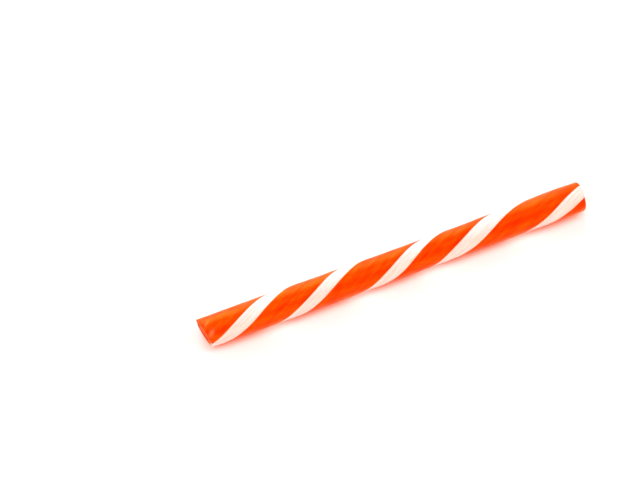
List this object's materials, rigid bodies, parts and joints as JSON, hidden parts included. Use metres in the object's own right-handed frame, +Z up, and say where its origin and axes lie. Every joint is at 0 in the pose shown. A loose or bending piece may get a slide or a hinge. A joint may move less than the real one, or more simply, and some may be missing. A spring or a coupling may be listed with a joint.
{
  "type": "hard candy stick",
  "caption": "Straight round stick of orange hard candy with white stripes that wind round it from end to end, held in the hand and eaten.",
  "frame": {"origin": "centre of the base of the bounding box, on the flat that the stick lies on", "axes": "+X along the stick, +Z up as it lies, +Y away from the side that the picture shows"},
  "size_m": [0.127, 0.0098, 0.0096],
  "materials": {
    "orange_candy": "satin",
    "white_candy": "satin"
  },
  "bodies": {
    "root": {"candy_body": "orange_candy", "white_stripe_1": "white_candy", "white_stripe_2": "white_candy"}
  },
  "joints": []
}
